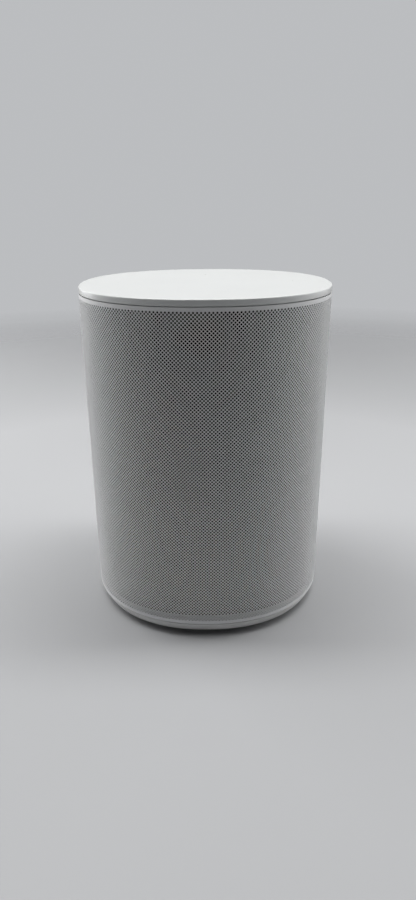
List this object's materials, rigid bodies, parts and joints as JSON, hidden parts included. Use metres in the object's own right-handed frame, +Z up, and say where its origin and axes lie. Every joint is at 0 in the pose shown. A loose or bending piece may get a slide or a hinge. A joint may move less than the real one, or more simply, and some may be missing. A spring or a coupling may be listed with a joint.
{
  "type": "smart speaker",
  "caption": "Upright soft-square smart speaker with a flat touch top, a perforated wrap-round grille, a plain back panel and a recessed foot.",
  "frame": {"origin": "on the surface the speaker stands on, under the middle of its footprint", "axes": "+Z up; the front faces -Y and the back panel with its sockets faces +Y; +X to the right seen from the front"},
  "size_m": [0.1196, 0.1196, 0.1615],
  "materials": {
    "touch_cover": "satin white moulded plastic",
    "grille_coat": "matt white powder coat on perforated steel",
    "shell_plastic": "matt white moulded plastic",
    "foot_rubber": "matt black rubber",
    "black_plastic": "matt black moulded plastic",
    "frame_plastic": "dark grey moulded plastic",
    "zinc_steel": "zinc plated steel",
    "light_pipe": "milky light guide plastic",
    "seal_foam": "closed cell foam",
    "circuit_board": "solder-masked glass laminate",
    "ribbon_film": "amber polyimide film",
    "antenna_foil": "plated antenna foil",
    "liner_cloth": "black acoustic cloth",
    "surround_rubber": "black butyl rubber",
    "cone_paper": "black pressed paper",
    "copper_winding": "enamelled copper winding",
    "spider_cloth": "resin-dipped cloth",
    "ferrite": "sintered ferrite",
    "dome_silk": "doped silk",
    "aluminium": "extruded aluminium"
  },
  "bodies": {
    "body": {"top_cover": "touch_cover", "status_light_pipe": "light_pipe", "mic_gasket": "seal_foam", "touch_board": "circuit_board", "touch_ribbon": "ribbon_film", "top_frame": "frame_plastic", "grille": "grille_coat", "acoustic_liner": "liner_cloth", "rear_panel": "shell_plastic", "port_board": "circuit_board", "button_switch": "black_plastic", "mic_switch_body": "black_plastic", "usb_socket": "zinc_steel", "power_inlet": "black_plastic", "main_board": "circuit_board", "processor_shield": "zinc_steel", "antenna_left": "antenna_foil", "antenna_right": "antenna_foil", "amp_board": "circuit_board", "heat_sink": "aluminium", "power_board": "circuit_board", "transformer": "copper_winding", "bulk_capacitor": "black_plastic", "power_harness": "black_plastic", "cabinet_front": "frame_plastic", "cabinet_rear": "frame_plastic", "cabinet_gasket": "seal_foam", "woofer_gasket": "seal_foam", "woofer_basket": "black_plastic", "woofer_surround": "surround_rubber", "woofer_spider": "spider_cloth", "woofer_top_plate": "zinc_steel", "woofer_magnet": "ferrite", "woofer_yoke": "zinc_steel", "tweeter_waveguide": "black_plastic", "tweeter_magnet": "ferrite", "base_tray": "shell_plastic", "foot_ring": "foot_rubber", "woofer_screw_1": "zinc_steel", "woofer_screw_2": "zinc_steel", "woofer_screw_3": "zinc_steel", "woofer_screw_4": "zinc_steel", "tweeter_screw_1": "zinc_steel", "tweeter_screw_2": "zinc_steel", "cabinet_screw_1": "zinc_steel", "cabinet_screw_2": "zinc_steel", "cabinet_screw_3": "zinc_steel", "cabinet_screw_4": "zinc_steel", "base_screw_1": "zinc_steel", "base_screw_2": "zinc_steel", "base_screw_3": "zinc_steel", "base_screw_4": "zinc_steel"},
    "woofer_diaphragm": {"woofer_cone": "cone_paper", "woofer_dust_cap": "cone_paper", "woofer_voice_coil": "copper_winding"},
    "tweeter_diaphragm": {"tweeter_dome": "dome_silk"},
    "pairing_button": {"pairing_button": "shell_plastic"},
    "mic_switch": {"mic_switch_slider": "shell_plastic"}
  },
  "joints": [
    {"name": "woofer_travel", "type": "slide", "parent": "body", "child": "woofer_diaphragm", "axis": [0, -1, 0], "range_m": [-0.004, 0.004], "stiffness_N_per_m": 1500, "deforming": ["woofer_surround", "woofer_spider"]},
    {"name": "tweeter_travel", "type": "slide", "parent": "body", "child": "tweeter_diaphragm", "axis": [0, -1, 0], "range_m": [-0.0003, 0.0003], "stiffness_N_per_m": 2000},
    {"name": "pairing_press", "type": "slide", "parent": "body", "child": "pairing_button", "axis": [0, -1, 0], "range_m": [0, 0.0008], "stiffness_N_per_m": 1500},
    {"name": "mic_switch_slide", "type": "slide", "parent": "body", "child": "mic_switch", "axis": [1, 0, 0], "range_m": [0, 0.003]}
  ]
}
